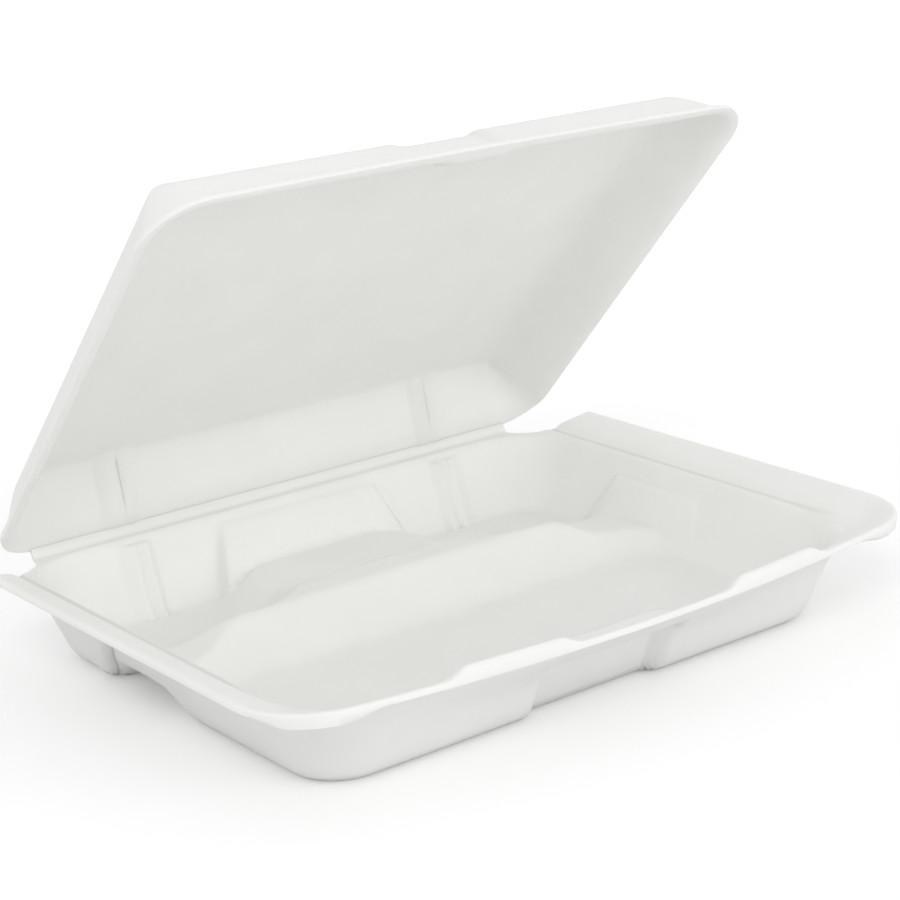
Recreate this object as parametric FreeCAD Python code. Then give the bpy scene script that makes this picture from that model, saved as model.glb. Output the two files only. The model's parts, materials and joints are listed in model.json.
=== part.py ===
import FreeCAD, Part
import math
import os

# A hinged-lid food container thermoformed from one sheet of foam.
# X runs along the hinge, +Y points to the hinge, +Z is up. Z = 0 is the surface it stands on.
# Lengths are in millimetres, angles in degrees.

V = FreeCAD.Vector

# sheet and frame
SHEET = 2.4                 # thickness of the foam
HINGE_Y = 88.0              # the hinge line, measured from the middle of the tray
HINGE_Z = 27.0
HINGE_HALF = 93.5           # half the length of the joined line
WEB_R = 0.9                 # radius of the pressed web
WEB_GAP = 0.3               # room between the web and the lid
LID_OPEN = 47.3             # how far the lid stands open

# heights of the inner surface
FLOOR_Z = SHEET
SADDLE_Z = 9.3              # the long divider's ends at the side walls
PLATEAU_Z = 11.0            # the pad between the two small compartments
RIDGE_Z = 15.0              # top of the long divider
PAD_TOP_Z = 21.0            # top of the raised pads on the side walls
BUTTRESS_TOP_Z = 25.0       # top of the cross divider's back
CREASE_Z = 27.6             # where the walls turn into the flange
EDGE_RISE = 5.4             # height of the flange's outer edge over the crease

# plan of the inner surface at the floor, measured from the hinge line
FLOOR_HALF = 92.5
FRONT_Y = -150.5
DIVIDER_FRONT_Y = -76.0
DIVIDER_BACK_Y = -46.0
BACK_Y = -13.0
CROSS_HALF = 41.0           # half the foot of the cross divider

# leans of the walls, sideways per height
SIDE_LEAN = 0.42
FRONT_LEAN = 0.42
BACK_LEAN = 0.35
SLOPE_LEAN = 1.0            # flanks of the dividers

FLANGE_HALF = 118.0
FLANGE_LEAN = 2.7           # outward run of the flange per height
RIM_FRONT_Y = -173.0        # front rim at its corners
RIM_BOW = 7.0               # how far the front rim bulges at its middle
RIM_CORNER_R = 25.0

# lid, measured from the hinge line in the closed pose
LID_GAP = 2.4               # rim's inner plane over the hinge line
LID_HALF = 106.8
LID_LENGTH = 167.5
LID_DEPTH = 17.6            # rim plane to the inside of the top
LID_RIM = 3.6               # width of the flat rim
LID_LEAN = 0.66
LID_FRONT_LEAN = 0.72
LID_BACK_LEAN = 0.56
LID_FRONT_R = 18.0
LID_BACK_R = 15.0
LIP_BACK = 0.6              # the lid's back edge behind the hinge line
LIP_FRONT = 1.6             # the lid's lip in front of the hinge line
LIP_LOW = 1.0               # the lip's lower face over the hinge line, clear of the tray's edge
LIP_HALF = LID_HALF - LID_BACK_R

# small forms
HUMP_X = 60.5               # groove down the middle of each broad rib near the hinge
GROOVE_HALF = 2.2
GROOVE_DEPTH = 1.4
HUMP_DEPTH = 2.5            # how far the rib stands into the tray
HUMP_INNER = 3.3            # width of its sloping side towards the middle of the tray
HUMP_OUTER = 5.3            # and of the one away from it
HUMP_TOP_GAP = 2.0          # end of the rib under the crease
PAD_DEPTH = 2.5             # how far the side pads stand into the tray
PAD_BACK_Y = -44.0          # back edge of a pad where it meets the divider's end
PAD_BACK_LEAN = 0.6         # how that edge leans forward with height
PAD_FRONT_Y = -98.3         # front edge of a pad at the floor
PAD_FRONT_LEAN = 0.42       # how that edge leans back with height
NOTCH_REACH = 9.0           # how far the notch outside a pad is cut
NOTCH_LOW = 1.1             # lower end of that notch, in sheets under the floor
NOTCH_HIGH = 0.4            # and its upper end, in sheets under the pad's top
BUTTRESS_TOP_DEPTH = 2.1    # how far the cross divider's back stands in at its top
BUTTRESS_FOOT_DEPTH = 7.5   # and at its foot
BUTTRESS_TOP_HALF = 31.4
BUTTRESS_FOOT_HALF = 39.2
BUTTRESS_TAPER = 3.0        # how much its rear is narrower than its face
BUTTRESS_HOLLOW = 2.0       # how much narrower its hollow back is
BUTTRESS_REACH = 6.0        # how far that hollow is cut
WALL_OVER = 1.2             # how far a pad or buttress reaches into its wall
PLATEAU_HALF = 32.0         # half the width of the level top of the cross divider
PLATEAU_GAP = 3.0           # its front edge behind the long divider's foot
PLATEAU_BACK = 2.0          # its back edge in front of the back wall's foot
SADDLE_IN_X = 76.0          # inner end of each low end of the long divider
SADDLE_FRONT_Y = -86.0
SADDLE_BACK_Y = -49.0
RECESS_HALF = 19.0          # half the width of the tray's front recess at its foot
RECESS_DEPTH = 4.5
RECESS_TOP_Z = 20.0
RECESS_SPREAD = -0.12       # change of its half width with height
LID_RECESS_HALF = 8.0       # the same for the lid's front recess
LID_RECESS_DEPTH = 2.2
LID_RECESS_SPREAD = 0.24
LOCK_X = 48.0               # middle of a lock
LOCK_HALF = 22.0
LOCK_RISE = 3.4             # the lock's crest over the rim
LOCK_ROOT = 4.2             # how far it reaches down into the rim
LOCK_FRONT = 0.6            # front of its foot behind the rim's edge
LOCK_LENGTH = 9.4           # front to back of its foot
LOCK_IN = 7.0               # how much shorter the crest is than the foot at each end
LOCK_CREST_FRONT = 3.2      # front of the crest behind the rim's edge
LOCK_CREST_LENGTH = 3.0
SKIRT_DROP = 5.6            # depth of the skirt under the rim at the middle of a front corner
SKIRT_IN = 0.3              # how far the skirt stands in from the rim's edge
SKIRT_UNDER = 1.4           # top of the skirt under the rim's upper face
SKIRT_SPAN = 4.0            # how far its rising lower edge is cut past its ends
EAR = ((95.5, -5.0), (104.5, -11.2))    # corners of the cut-off ears beside the hinge
EAR_END_Y = -17.0
OVER = 4.0                  # how far the flange's form runs past its cut edge

# corner radii, in the order front left, front right, back right, back left
FRONT_RADII = (15.0, 15.0, 18.0, 18.0)
FRONT_TOP_RADII = (16.0, 16.0, 20.0, 20.0)
SMALL_RADII = (12.0, 8.0, 8.0, 14.0)
SMALL_TOP_RADII = (14.0, 10.0, 10.0, 19.0)
PLATEAU_RADII = (2.0, 2.0, 12.0, 12.0)
PLATEAU_TOP_RADII = (6.0, 6.0, 15.0, 15.0)
SADDLE_RADII = (5.0, 5.0, 5.0, 5.0)
SADDLE_TOP_RADII = (7.0, 7.0, 7.0, 7.0)
TUB_RADII = (16.0, 16.0, 19.0, 19.0)
TUB_TOP_RADII = (18.0, 18.0, 22.0, 22.0)
FLANGE_RADII = (18.0, 18.0, 3.0, 3.0)
FLANGE_TOP_RADII = (27.0, 27.0, 3.0, 3.0)
FRONT_EASE = 4.0            # rounding of the front compartment's floor edge
SMALL_EASE = 3.0            # and of the small ones'
EASE_IN = 0.6               # how far that rounding reaches inwards, as a share of its height
LEAST_R = 1.0               # smallest corner radius
CUT_OVER = 1.0              # how far a cut runs past the face it starts from
CUT_LOW = 3.6               # how far a cut made from below starts under the floor

# section of the lid's wall
LID_BACK_FOOT = 4.0         # foot of the lid's hinge-side wall in front of the hinge line
LID_SHOULDER_H = 2.0        # height under the top where the wall starts to turn
LID_SHOULDER_IN = 1.6       # how far it has turned in there
LID_STRAIGHT_H = 6.0        # height under the top where the wall is still straight
LID_TOP_IN = 5.5            # how far it has turned in at the top
LID_CORNER_IN = 2.0         # how much smaller the hollow's front corners are than the rim's
LID_CORNER_BACK_IN = 3.0    # and its back corners
LID_CORNER_GROW = 0.2       # growth of the front corner radius with height
LID_SHEET_TURN = 0.35       # how far the outer face follows the turn, in sheets
LID_BOW = 1.0               # bulge of the lid's front edge


def loop(x0, x1, y0, y1, z, radii, bow=0.0):
    """Closed outline with round corners (front left, front right, back right, back left)."""
    fl, fr, br, bl = radii

    def arc(cx, cy, r, a0):
        pts = []
        for a in (a0, a0 + 45, a0 + 90):
            pts.append(V(cx + r * math.cos(math.radians(a)), cy + r * math.sin(math.radians(a)), z))
        return Part.Arc(*pts).toShape()

    def straight(a, b):
        return Part.LineSegment(V(a[0], a[1], z), V(b[0], b[1], z)).toShape()

    if bow:
        front = Part.Arc(V(x0 + fl, y0, z), V((x0 + x1) / 2, y0 - bow, z), V(x1 - fr, y0, z)).toShape()
    else:
        front = straight((x0 + fl, y0), (x1 - fr, y0))
    edges = [
        front,
        arc(x1 - fr, y0 + fr, fr, -90),
        straight((x1, y0 + fr), (x1, y1 - br)),
        arc(x1 - br, y1 - br, br, 0),
        straight((x1 - br, y1), (x0 + bl, y1)),
        arc(x0 + bl, y1 - bl, bl, 90),
        straight((x0, y1 - bl), (x0, y0 + fl)),
        arc(x0 + fl, y0 + fl, fl, 180),
    ]
    return Part.Wire(edges)


def shift(lean, out):
    """How far a leaning wall's outer face stands out at a height lower by the sheet."""
    return out * (math.sqrt(1 + lean * lean) - lean)


def plug(box, z0, z1, leans, radii0, radii1, out=0.0, bow=(0.0, 0.0), ease=0.0):
    """Tapered solid that fills a compartment; out > 0 gives the outer face of the sheet."""
    x0, x1, y0, y1 = box
    kx0, kx1, ky0, ky1 = leans

    def section(z, t, inset=0.0):
        h = z - z0
        dx0, dx1, dy0, dy1 = (k * h + shift(k, out) - inset for k in (kx0, kx1, ky0, ky1))
        radii = [max(a + (b - a) * t + shift(SIDE_LEAN, out) - inset, LEAST_R) for a, b in zip(radii0, radii1)]
        return loop(x0 - dx0, x1 + dx1, y0 - dy0, y1 + dy1, z - out, radii, bow[0] + (bow[1] - bow[0]) * t)

    sections = []
    if ease:
        for a in (0, 30, 60):
            rise = ease * (1 - math.cos(math.radians(a)))
            inset = ease * EASE_IN * (1 - math.sin(math.radians(a)))
            sections.append(section(z0 + rise, rise / (z1 - z0), inset))
        z_next = z0 + ease
        sections.append(section(z_next, ease / (z1 - z0)))
    else:
        sections.append(section(z0, 0.0))
    sections.append(section(z1, 1.0))
    return Part.makeLoft(sections, True, True)


def fuse(shapes):
    return shapes[0].multiFuse(shapes[1:]).removeSplitter()


def mirrored(shape):
    return shape.mirror(V(0, 0, 0), V(1, 0, 0))


def tray_plugs(out):
    """The compartments and the tub over them, as the inner or the outer face of the sheet."""
    low = RIDGE_Z - FLOOR_Z
    wide = FLOOR_HALF + SIDE_LEAN * low
    tub_h = CREASE_Z - RIDGE_Z
    front = plug((-FLOOR_HALF, FLOOR_HALF, FRONT_Y, DIVIDER_FRONT_Y), FLOOR_Z, RIDGE_Z,
                 (SIDE_LEAN, SIDE_LEAN, FRONT_LEAN, SLOPE_LEAN), FRONT_RADII, FRONT_TOP_RADII, out,
                 ease=FRONT_EASE)
    back = plug((-FLOOR_HALF, -CROSS_HALF, DIVIDER_BACK_Y, BACK_Y), FLOOR_Z, RIDGE_Z,
                (SIDE_LEAN, SLOPE_LEAN, SLOPE_LEAN, BACK_LEAN), SMALL_RADII, SMALL_TOP_RADII, out,
                ease=SMALL_EASE)
    level = (-PLATEAU_HALF, PLATEAU_HALF, DIVIDER_BACK_Y + PLATEAU_GAP, BACK_Y - PLATEAU_BACK)
    plateau = plug(level, PLATEAU_Z, RIDGE_Z, (SLOPE_LEAN, SLOPE_LEAN, SLOPE_LEAN, BACK_LEAN),
                   PLATEAU_RADII, PLATEAU_TOP_RADII, out)
    saddle = plug((SADDLE_IN_X, side_wall_x(SADDLE_Z), SADDLE_FRONT_Y, SADDLE_BACK_Y), SADDLE_Z, RIDGE_Z,
                  (SLOPE_LEAN, SIDE_LEAN, SIDE_LEAN, SIDE_LEAN), SADDLE_RADII, SADDLE_TOP_RADII, out)
    tub = plug((-wide, wide, FRONT_Y - FRONT_LEAN * low, BACK_Y + BACK_LEAN * low), RIDGE_Z, CREASE_Z,
               (SIDE_LEAN, SIDE_LEAN, FRONT_LEAN, BACK_LEAN), TUB_RADII, TUB_TOP_RADII, out,
               bow=(0.0, RIM_BOW))
    edge = wide + SIDE_LEAN * tub_h
    front_edge = front_wall_y(CREASE_Z)
    rise = EDGE_RISE + OVER
    front_run = (front_edge - RIM_FRONT_Y) / EDGE_RISE
    flange = plug((-edge, edge, front_edge, 2 * OVER), CREASE_Z, CREASE_Z + rise,
                  (FLANGE_LEAN, FLANGE_LEAN, front_run, 0.0), FLANGE_RADII, FLANGE_TOP_RADII, out,
                  bow=(RIM_BOW, RIM_BOW))
    return [front, back, mirrored(back), plateau, saddle, mirrored(saddle), tub, flange]


def tray_outline():
    """Upright solid on the cut outline of the tray, with the ears beside the hinge."""
    r, w = RIM_CORNER_R, FLANGE_HALF
    c = r * (1 - math.sqrt(0.5))
    ear = [(HINGE_HALF, -WEB_R), *EAR, (w, EAR_END_Y)]
    z = -CUT_OVER

    def seg(a, b):
        return Part.LineSegment(V(a[0], a[1], z), V(b[0], b[1], z)).toShape()

    def arc(a, m, b):
        return Part.Arc(V(a[0], a[1], z), V(m[0], m[1], z), V(b[0], b[1], z)).toShape()

    right = [seg(a, b) for a, b in zip(ear, ear[1:])]
    left = [seg((-b[0], b[1]), (-a[0], a[1])) for a, b in zip(ear, ear[1:])][::-1]
    y = RIM_FRONT_Y
    rim = [
        seg((w, ear[-1][1]), (w, y + r)),
        arc((w, y + r), (w - c, y + c), (w - r, y)),
        arc((w - r, y), (0, y - RIM_BOW), (r - w, y)),
        arc((r - w, y), (c - w, y + c), (-w, y + r)),
        seg((-w, y + r), (-w, ear[-1][1])),
    ]
    back = [seg((-HINGE_HALF, -WEB_R), (HINGE_HALF, -WEB_R))]
    wire = Part.Wire(right + rim + left + back)
    return Part.Face(wire).extrude(V(0, 0, CREASE_Z + 2 * EDGE_RISE))


def hump(foot, top):
    """Broad grooved rib on a hinge-side wall; foot and top are (y, z) on the wall's face."""
    section = [(-GROOVE_HALF - HUMP_INNER, 0.0), (-GROOVE_HALF, HUMP_DEPTH), (0.0, HUMP_DEPTH - GROOVE_DEPTH),
               (GROOVE_HALF, HUMP_DEPTH), (GROOVE_HALF + HUMP_OUTER, 0.0),
               (GROOVE_HALF + HUMP_OUTER, -WALL_OVER), (-GROOVE_HALF - HUMP_INNER, -WALL_OVER)]
    rings = []
    for y, z in (foot, top):
        points = [V(HUMP_X + x, y - d, z) for x, d in section]
        rings.append(Part.makePolygon(points + points[:1]))
    return Part.makeLoft(rings, True, True)


def front_wall_y(z):
    return FRONT_Y - FRONT_LEAN * (z - FLOOR_Z)


def back_wall_y(z):
    return BACK_Y + BACK_LEAN * (z - FLOOR_Z)


def side_wall_x(z):
    return FLOOR_HALF + SIDE_LEAN * (z - FLOOR_Z)


def side_pad(out):
    """Pad on the right wall over the divider's end; out > 0 gives the matching notch outside."""
    z0, z1 = (FLOOR_Z - out * NOTCH_LOW, PAD_TOP_Z - out * NOTCH_HIGH)
    reach = NOTCH_REACH if out else WALL_OVER
    near = PAD_DEPTH - out * math.sqrt(1 + SIDE_LEAN ** 2)
    faces = []
    for z in (z0, z1):
        x = side_wall_x(z)
        front = PAD_FRONT_Y + PAD_FRONT_LEAN * (z - FLOOR_Z)
        back = PAD_BACK_Y - PAD_BACK_LEAN * (z - SADDLE_Z)
        corners = [V(x - near, front, z), V(x + reach, front, z), V(x + reach, back, z), V(x - near, back, z)]
        faces.append(Part.makePolygon(corners + corners[:1]))
    return Part.makeLoft(faces, True, True)


def buttress(out):
    """Back of the cross divider: a wedge on the back wall that stands out more and widens to its foot."""
    z0 = FLOOR_Z - (CUT_LOW if out else CUT_OVER)
    z1 = BUTTRESS_TOP_Z - out * NOTCH_HIGH
    reach = BUTTRESS_REACH if out else WALL_OVER
    inset = BUTTRESS_HOLLOW if out else 0.0
    faces = []
    for z in (z0, z1):
        t = (z - FLOOR_Z) / (BUTTRESS_TOP_Z - FLOOR_Z)
        half = BUTTRESS_FOOT_HALF + (BUTTRESS_TOP_HALF - BUTTRESS_FOOT_HALF) * t - inset
        near = BUTTRESS_FOOT_DEPTH + (BUTTRESS_TOP_DEPTH - BUTTRESS_FOOT_DEPTH) * t
        near -= out * math.sqrt(1 + BACK_LEAN ** 2)
        y = back_wall_y(z)
        rear = half - BUTTRESS_TAPER
        faces.append(Part.makePolygon([V(-half, y - near, z), V(half, y - near, z), V(rear, y + reach, z),
                                       V(-rear, y + reach, z), V(-half, y - near, z)]))
    return Part.makeLoft(faces, True, True)


def front_recess(half, depth, spread, z0, z1, y_at):
    """Flat-bottomed recess in an outer front wall."""
    faces = []
    for z in (z0, z1):
        y = y_at(z)
        h = half + spread * (z - z0)
        wide = h + depth
        corners = [V(-wide, y - depth, z), V(wide, y - depth, z), V(h, y + depth, z), V(-h, y + depth, z)]
        faces.append(Part.makePolygon(corners + corners[:1]))
    return Part.makeLoft(faces, True, True)


def lock():
    """Raised crest on the front rim, sloping down at its ends."""
    edge = RIM_FRONT_Y - RIM_BOW * (1 - (LOCK_X / FLANGE_HALF) ** 2)
    base = CREASE_Z + EDGE_RISE - LOCK_ROOT
    profiles = []
    for z, half, front, length in ((base, LOCK_HALF, LOCK_FRONT, LOCK_LENGTH),
                                   (base + LOCK_ROOT + LOCK_RISE, LOCK_HALF - LOCK_IN, LOCK_CREST_FRONT,
                                    LOCK_CREST_LENGTH)):
        y0 = edge + front
        y1 = y0 + length
        profiles.append(Part.makePolygon([V(-half, y0, z), V(half, y0, z), V(half, y1, z), V(-half, y1, z),
                                          V(-half, y0, z)]))
    body = Part.makeLoft(profiles, True, True)
    body.translate(V(-LOCK_X, 0, 0))
    return body


def corner_skirt():
    """Short skirt under the rim round the front left corner, deepest at its middle."""
    r = RIM_CORNER_R - SKIRT_IN
    top = CREASE_Z + EDGE_RISE - SKIRT_UNDER
    ring = Part.makeCylinder(r, SKIRT_DROP, V(0, 0, top - SKIRT_DROP), V(0, 0, 1), 90)
    ring = ring.cut(Part.makeCylinder(r - SHEET, SKIRT_DROP, V(0, 0, top - SKIRT_DROP)))
    # the lower edge rises from the middle of the corner to nothing at its two ends
    near = r * math.sqrt(0.5)
    points = [(near - SKIRT_SPAN, top), (near, top), (r, top - SKIRT_DROP), (r, top - 2 * SKIRT_DROP),
              (near - SKIRT_SPAN, top - 2 * SKIRT_DROP)]
    wire = Part.makePolygon([V(x, -r, z) for x, z in points + points[:1]])
    below = Part.Face(wire).extrude(V(0, 2 * r, 0))
    below.rotate(V(0, 0, 0), V(0, 0, 1), 45)
    ring = ring.cut(below)
    ring.rotate(V(0, 0, 0), V(0, 0, 1), 180)
    ring.translate(V(RIM_CORNER_R - FLANGE_HALF, RIM_FRONT_Y + RIM_CORNER_R, 0))
    return ring


def make_tray():
    outer = fuse(tray_plugs(SHEET)).common(tray_outline())
    skirt = corner_skirt()
    outer = fuse([outer, skirt, mirrored(skirt)])
    notch = side_pad(SHEET)
    recess = front_recess(RECESS_HALF, RECESS_DEPTH, RECESS_SPREAD, FLOOR_Z - CUT_LOW, RECESS_TOP_Z,
                          lambda z: front_wall_y(z) - SHEET * math.sqrt(1 + FRONT_LEAN ** 2))
    outer = outer.cut(notch).cut(mirrored(notch)).cut(buttress(SHEET)).cut(recess)
    cavity = fuse(tray_plugs(0.0))
    bump = front_recess(RECESS_HALF + SHEET, RECESS_DEPTH, RECESS_SPREAD, FLOOR_Z - CUT_OVER,
                        RECESS_TOP_Z + SHEET, front_wall_y)
    pad = side_pad(0.0)
    rib_top = CREASE_Z - HUMP_TOP_GAP
    rib = hump((back_wall_y(FLOOR_Z), FLOOR_Z), (back_wall_y(rib_top), rib_top))
    cavity = cavity.cut(fuse([pad, mirrored(pad), buttress(0.0), bump, rib, mirrored(rib)]))
    tray = outer.cut(cavity)
    crest = lock()
    return fuse([tray, crest, mirrored(crest)])


def lid_plug(out):
    """The lid's hollow (or outer form) in the closed pose, opening downwards."""
    top = LID_GAP + LID_DEPTH
    w = LID_HALF - LID_RIM
    y0 = -LID_LENGTH + LID_RIM
    y1 = -LID_BACK_FOOT
    lean = (LID_LEAN, LID_LEAN, LID_FRONT_LEAN, LID_BACK_LEAN)
    start = SHEET / 2 if out else -CUT_OVER
    shoulder = LID_DEPTH - LID_SHOULDER_H
    sections = []
    for h, extra in ((start, 0.0), (LID_DEPTH - LID_STRAIGHT_H, 0.0), (shoulder, LID_SHOULDER_IN),
                     (LID_DEPTH, LID_TOP_IN)):
        d = [k * h + extra - out * math.sqrt(1 + k * k) for k in lean]
        z = LID_GAP + h
        if out and h >= shoulder:
            z += out
            d = [v + out * LID_SHEET_TURN for v in d]
        front_r = LID_FRONT_R - LID_CORNER_IN + h * LID_CORNER_GROW
        back_r = LID_BACK_R - LID_CORNER_BACK_IN
        sections.append(loop(-w + d[0], w - d[1], y0 + d[2], y1 - d[3], z, (front_r, front_r, back_r, back_r)))
    return Part.makeLoft(sections, True, True)


def lid_front_y(z):
    return -LID_LENGTH + LID_RIM + LID_FRONT_LEAN * (z - LID_GAP)


def make_lid():
    radii = (LID_FRONT_R, LID_FRONT_R, LID_BACK_R, LID_BACK_R)
    rim = loop(-LID_HALF, LID_HALF, -LID_LENGTH, LIP_BACK, LID_GAP, radii, LID_BOW)
    rim = Part.Face(rim).extrude(V(0, 0, SHEET))
    lip = Part.makeBox(2 * LIP_HALF, LIP_BACK + LIP_FRONT, LID_GAP - LIP_LOW, V(-LIP_HALF, -LIP_FRONT, LIP_LOW))
    lip = lip.cut(Part.makeCylinder(WEB_R + WEB_GAP, 4 * LID_HALF, V(-2 * LID_HALF, 0, 0), V(1, 0, 0)))
    outer = fuse([rim, lid_plug(SHEET), lip])
    recess = front_recess(LID_RECESS_HALF, LID_RECESS_DEPTH, LID_RECESS_SPREAD, LID_GAP + SHEET,
                          LID_GAP + LID_DEPTH + 2 * SHEET,
                          lambda z: lid_front_y(z) - SHEET * math.sqrt(1 + LID_FRONT_LEAN ** 2))
    bump = front_recess(LID_RECESS_HALF + SHEET, LID_RECESS_DEPTH, LID_RECESS_SPREAD, LID_GAP,
                        LID_GAP + LID_DEPTH, lid_front_y)
    cavity = lid_plug(0.0).cut(bump)
    h = LID_DEPTH - CUT_OVER
    rib = hump((-LID_BACK_FOOT, LID_GAP), (-LID_BACK_FOOT - LID_BACK_LEAN * h, LID_GAP + h))
    cavity = cavity.cut(fuse([rib, mirrored(rib)]))
    lid = outer.cut(recess).cut(cavity)
    lid.rotate(V(0, 0, 0), V(1, 0, 0), -LID_OPEN)
    lid.translate(V(0, HINGE_Y, HINGE_Z))
    return lid


def make_web():
    return Part.makeCylinder(WEB_R, 2 * HINGE_HALF, V(-HINGE_HALF, HINGE_Y, HINGE_Z), V(1, 0, 0))


tray = make_tray()
tray.translate(V(0, HINGE_Y, 0))
web = make_web()
parts = {"tray": tray.cut(web), "lid": make_lid(), "hinge_web": web}

os.makedirs("parts", exist_ok=True)
for name, shape in parts.items():
    solids = shape.Solids
    if len(solids) != 1 or not shape.isValid():
        print(name, "solids", len(solids), "valid", shape.isValid(), [round(s.Volume) for s in solids])
    solids[0].exportStep("parts/" + name + ".step")
    print(name, "volume", round(shape.Volume))
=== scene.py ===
import json
import math

import bpy
import numpy as np
from bpy.props import FloatProperty, FloatVectorProperty, PointerProperty
from mathutils import Matrix, Vector


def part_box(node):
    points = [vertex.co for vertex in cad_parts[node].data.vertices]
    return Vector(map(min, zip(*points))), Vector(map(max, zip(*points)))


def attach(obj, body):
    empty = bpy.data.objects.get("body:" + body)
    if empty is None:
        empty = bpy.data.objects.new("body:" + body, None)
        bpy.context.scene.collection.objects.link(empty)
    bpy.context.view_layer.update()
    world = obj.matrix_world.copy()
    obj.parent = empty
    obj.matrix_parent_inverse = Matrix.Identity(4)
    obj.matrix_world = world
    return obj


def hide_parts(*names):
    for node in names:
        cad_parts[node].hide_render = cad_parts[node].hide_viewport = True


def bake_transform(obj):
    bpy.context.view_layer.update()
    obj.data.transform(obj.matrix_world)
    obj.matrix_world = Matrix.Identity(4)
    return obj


bl_info = {
    "name": "Foam clamshell container",
    "version": (1, 0, 0),
    "blender": (4, 5, 0),
    "location": "View3D > Sidebar > Clamshell",
    "description": "Skins of moulded foam for a hinged food container with a compartmented tray",
    "category": "Object",
}

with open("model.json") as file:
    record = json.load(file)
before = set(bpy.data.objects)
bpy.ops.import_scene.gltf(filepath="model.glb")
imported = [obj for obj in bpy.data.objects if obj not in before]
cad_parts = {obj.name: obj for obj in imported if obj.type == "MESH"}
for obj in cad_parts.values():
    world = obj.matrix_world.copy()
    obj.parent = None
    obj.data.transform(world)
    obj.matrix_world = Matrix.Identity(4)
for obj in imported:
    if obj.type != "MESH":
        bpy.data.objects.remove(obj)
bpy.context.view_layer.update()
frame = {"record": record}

MM = 0.001
HINGE = Vector(frame["record"]["behaviour"]["joints"][0]["pos_m"])
HINGE_HALF = (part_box("hinge_web")[1][0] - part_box("hinge_web")[0][0]) / 2 / MM
FLANGE_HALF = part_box("tray")[1][0] / MM
LID_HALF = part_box("lid")[1][0] / MM

# heights and plan of the tray, in millimetres, with y measured from the hinge line
CREASE_Z = 27.6
EDGE_RISE = 5.4
FLOOR_HALF = 92.5
FRONT_Y = -150.5
BACK_Y = -13.0
BREAK_Z = 15.0
SIDE_LEAN = 0.42
FRONT_LEAN = 0.42
BACK_LEAN = 0.35
FLANGE_LEAN = 2.7
RIM_FRONT_Y = -173.0
RIM_BOW = 7.0
RIM_CORNER_R = 25.0
DIVIDER_FRONT_Y = -76.0
DIVIDER_BACK_Y = -46.0
CROSS_HALF = 41.0
COMPARTMENT_R = 18.0
SMALL_R = 9.0
FRONT_CORNER_R = 36.0
BACK_CORNER_R = 34.0
FLANGE_CORNER_R = 5.0
FLANGE_LOW = 1.0
EAR = [(117.94, -17.0), (104.5, -11.2), (95.5, -5.0), (93.5, -0.9)]

# the lid, in the closed pose, with b measured from the hinge line
LID_GAP = 2.4
LID_OPEN = 47.3
LID_LENGTH = 167.5
LID_DEPTH = 17.6
LID_RIM = 3.6
LID_BACK_FOOT = 2.8
LID_LEAN = 0.66
LID_FRONT_LEAN = 0.72
LID_BACK_LEAN = 0.645
LID_FRONT_R = 18.0
LID_BACK_R = 15.0
LIP_BACK = 0.6
LID_BOW = 1.0
LID_FRONT_CORNER_R = 24.0
LID_BACK_CORNER_R = 20.0
LID_RECESS_SPREAD = 0.24
LID_RECESS_EASE = 1.4

# places and sizes of the small forms; a span is where a change starts and where it is complete
SADDLE_SPAN = (58.0, 80.0)
ENDS_SPAN = (68.0, 80.0)
ENDS_FRONT_SPAN = (-98.0, -88.0)
ENDS_BACK_SPAN = (34.0, 44.0)
HUMP_X = 60.5
GROOVE_HALF = 2.2
GROOVE_SHARE = 0.44
HUMP_INNER = 3.3
HUMP_OUTER = 5.3
HUMP_TOP_GAP = 2.0
PLATEAU_HALF = 32.0
PLATEAU_BACK_Y = -15.0
PLATEAU_R = 15.0
PLATEAU_CROWN = 1.2
PLATEAU_CROWN_REACH = 13.0
PLATEAU_STEP_SPAN = (42.0, 52.0)
PLATEAU_FREE_SPAN = (40.0, 52.0)
PLATEAU_FREE_RISE = 160.0
PAD_BACK_Y = -44.0
PAD_BACK_LEAN = 0.6
PAD_FRONT_Y = -98.3
PAD_FRONT_LEAN = 0.42
PAD_FRONT_EASE = (-3.0, 3.6)
PAD_BACK_EASE = (-1.6, 2.0)
PAD_THIN_SPAN = (62.0, 96.0)
PAD_THIN_SHARE = 0.72
PAD_LINE_DEPTH = 0.9
PAD_LINE_REACH = 0.9
PAD_LINE_END = 1.0
PAD_LINE_FOOT_SPAN = (5.0, 9.0)
PAD_LINE_X_SPAN = (86.0, 90.0)
BUTTRESS_TOP_Z = 25.0
BUTTRESS_TOP_DEPTH = 2.1
BUTTRESS_TOP_HALF = 31.4
BUTTRESS_FOOT_HALF = 39.2
BUTTRESS_EASE = (-2.0, 2.4)
RECESS_EASE = 2.4
RECESS_TOP_Z = 22.4
GROOVE_OUT = 2.0
GROOVE_REACH = 1.7
GROOVE_SPAN = (-152.0, -122.0)
LOCK_X = 48.0
LOCK_HALF = 22.0
LOCK_END = 8.0
LOCK_EDGE_SHARE = 0.6
LOCK_TOP_IN = 2.2
LOCK_FALL_SPAN = (4.6, 9.0)
SKIRT_SIDE_SPAN = (14.0, 44.0)
SKIRT_FRONT_SPAN = (-104.0, -72.0)
EDGE_INSET = 0.06

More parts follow.
